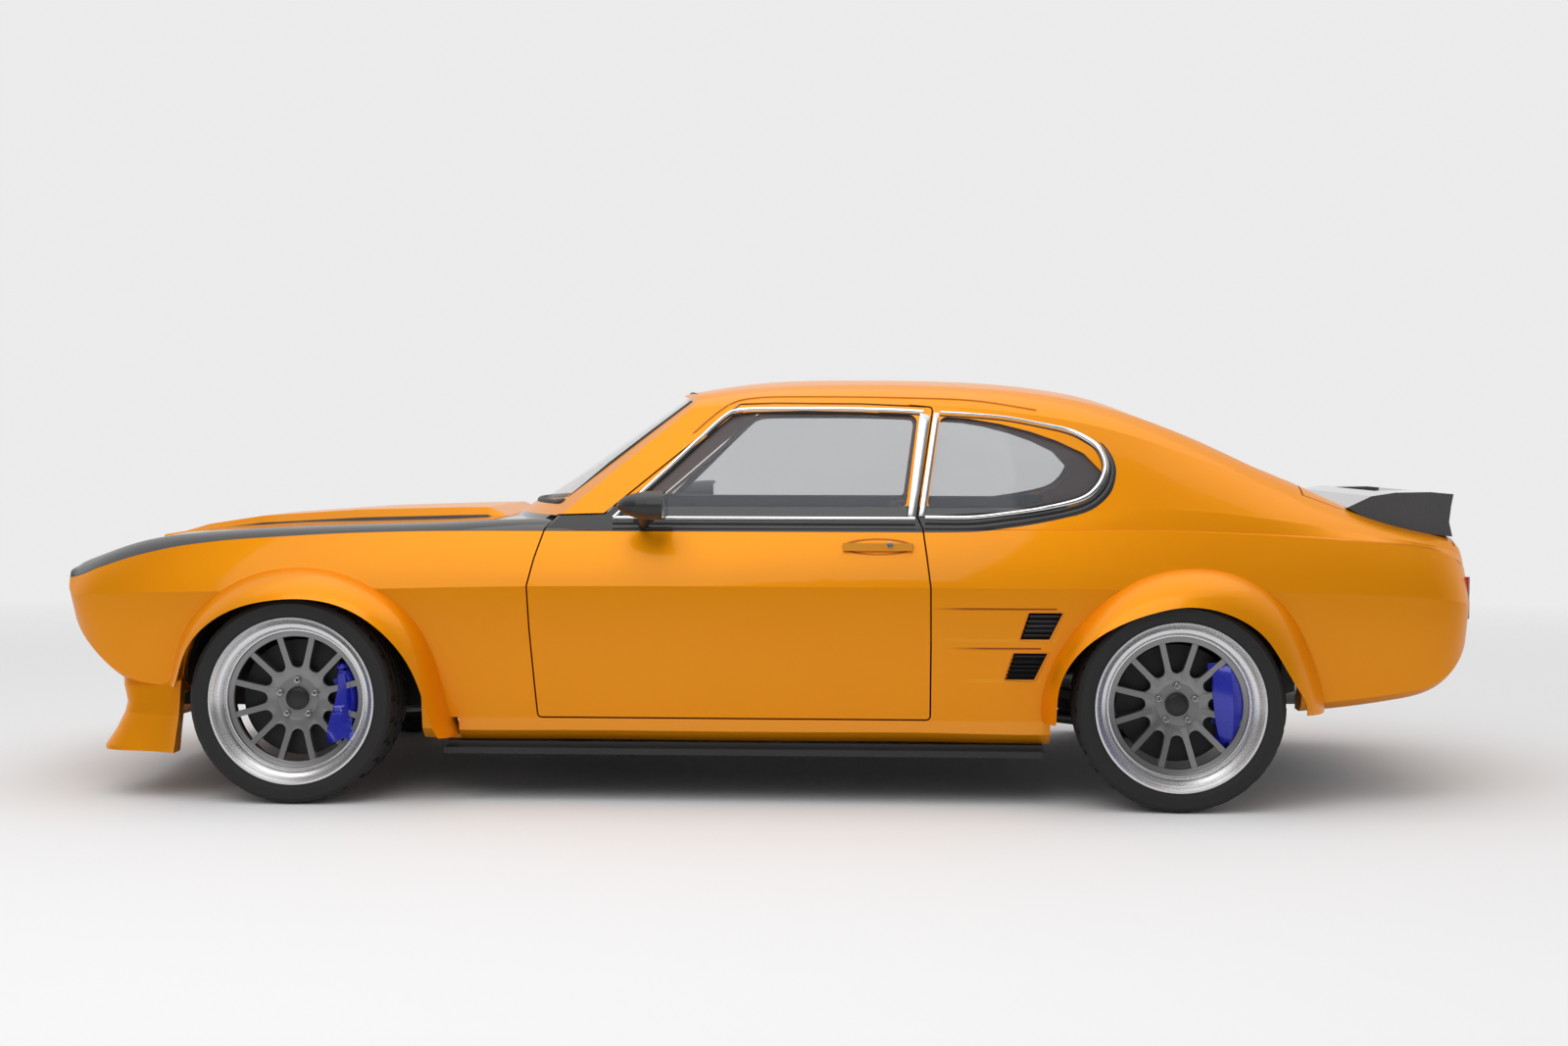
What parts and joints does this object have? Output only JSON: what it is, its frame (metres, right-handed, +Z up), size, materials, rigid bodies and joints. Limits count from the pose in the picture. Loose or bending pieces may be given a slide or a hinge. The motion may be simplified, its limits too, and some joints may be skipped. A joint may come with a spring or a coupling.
{
  "type": "rally car",
  "caption": "Two-door fastback rally coupe with flared arches, raised tail spoiler, spoked wheels, opening doors, bonnet and boot lid, and working steering.",
  "frame": {"origin": "on the ground at the middle of the car's length and width", "axes": "+X towards the tail, -X towards the nose, +Y to the car's right, +Z up"},
  "size_m": [4.196, 1.93, 1.2525],
  "materials": {
    "orange_paint": "gloss",
    "black_paint": "satin",
    "dark_metal": "satin",
    "rim_metal": "satin",
    "bright_metal": "polished",
    "tyre_rubber": "matte",
    "glass": "clear",
    "lamp_glass": "clear",
    "red_lens": "gloss",
    "black_plastic": "matte",
    "seat_trim": "satin",
    "steel": "brushed"
  },
  "bodies": {
    "body": {"floor_pan": "black_paint", "nose_panel": "orange_paint", "grille": "black_plastic", "headlamps": "lamp_glass", "wing_left": "orange_paint", "wing_right": "orange_paint", "scuttle": "orange_paint", "windscreen": "glass", "roof": "orange_paint", "rear_glass": "glass", "quarter_left": "orange_paint", "quarter_right": "orange_paint", "tail_panel": "orange_paint", "tail_lamps": "red_lens", "sill_splitters": "black_plastic", "front_seats": "seat_trim", "rear_seat": "seat_trim", "dashboard": "black_plastic", "engine_block": "dark_metal", "propshaft": "steel", "exhaust": "steel", "front_subframe": "dark_metal", "rear_axle": "dark_metal"},
    "door_left_body": {"door_left": "orange_paint", "door_glass_left": "glass", "mirror_left": "black_plastic", "door_handle_left": "bright_metal"},
    "door_right_body": {"door_right": "orange_paint", "door_glass_right": "glass", "mirror_right": "black_plastic", "door_handle_right": "bright_metal"},
    "bonnet_body": {"bonnet": "orange_paint"},
    "boot_body": {"boot_lid": "orange_paint", "tail_spoiler": "black_plastic"},
    "steering_wheel_body": {"steering_wheel": "black_plastic"},
    "knuckle_left_body": {"knuckle_left": "dark_metal"},
    "knuckle_right_body": {"knuckle_right": "dark_metal"},
    "wheel_front_left_body": {"tyre_front_left": "tyre_rubber", "wheel_front_left": "rim_metal"},
    "wheel_front_right_body": {"tyre_front_right": "tyre_rubber", "wheel_front_right": "rim_metal"},
    "wheel_rear_left_body": {"tyre_rear_left": "tyre_rubber", "wheel_rear_left": "rim_metal"},
    "wheel_rear_right_body": {"tyre_rear_right": "tyre_rubber", "wheel_rear_right": "rim_metal"}
  },
  "joints": [
    {"name": "door_left_hinge", "type": "hinge", "parent": "body", "child": "door_left_body", "pos_m": [-0.672, -0.826, 0.55], "axis": [0, 0, -1], "range_deg": [0, 65]},
    {"name": "door_right_hinge", "type": "hinge", "parent": "body", "child": "door_right_body", "pos_m": [-0.672, 0.826, 0.55], "axis": [0, 0, 1], "range_deg": [0, 65]},
    {"name": "bonnet_hinge", "type": "hinge", "parent": "body", "child": "bonnet_body", "pos_m": [-0.793, 0, 0.838], "axis": [0, 1, 0], "range_deg": [0, 52]},
    {"name": "boot_hinge", "type": "hinge", "parent": "body", "child": "boot_body", "pos_m": [1.609, 0, 0.925], "axis": [0, -1, 0], "range_deg": [0, 65]},
    {"name": "steering_left", "type": "hinge", "parent": "body", "child": "knuckle_left_body", "pos_m": [-1.347, -0.712, 0.301], "axis": [0, 0, 1], "range_deg": [-30, 30]},
    {"name": "steering_right", "type": "hinge", "parent": "body", "child": "knuckle_right_body", "pos_m": [-1.347, 0.712, 0.301], "axis": [0, 0, 1], "range_deg": [-30, 30]},
    {"name": "steering_wheel_turn", "type": "hinge", "parent": "body", "child": "steering_wheel_body", "pos_m": [-0.296, -0.35, 0.742], "axis": [0.9135, 0, 0.4067], "range_deg": [-420, 420]},
    {"name": "wheel_front_left_spin", "type": "hinge", "parent": "knuckle_left_body", "child": "wheel_front_left_body", "pos_m": [-1.347, -0.776, 0.301], "axis": [0, 1, 0], "continuous": true},
    {"name": "wheel_front_right_spin", "type": "hinge", "parent": "knuckle_right_body", "child": "wheel_front_right_body", "pos_m": [-1.347, 0.776, 0.301], "axis": [0, 1, 0], "continuous": true},
    {"name": "wheel_rear_left_spin", "type": "hinge", "parent": "body", "child": "wheel_rear_left_body", "pos_m": [1.213, -0.786, 0.301], "axis": [0, 1, 0], "continuous": true},
    {"name": "wheel_rear_right_spin", "type": "hinge", "parent": "body", "child": "wheel_rear_right_body", "pos_m": [1.213, 0.786, 0.301], "axis": [0, 1, 0], "continuous": true}
  ],
  "couplings": [
    {"joint": "steering_right", "follows": "steering_left", "ratio": 1},
    {"joint": "steering_wheel_turn", "follows": "steering_left", "ratio": 14}
  ]
}
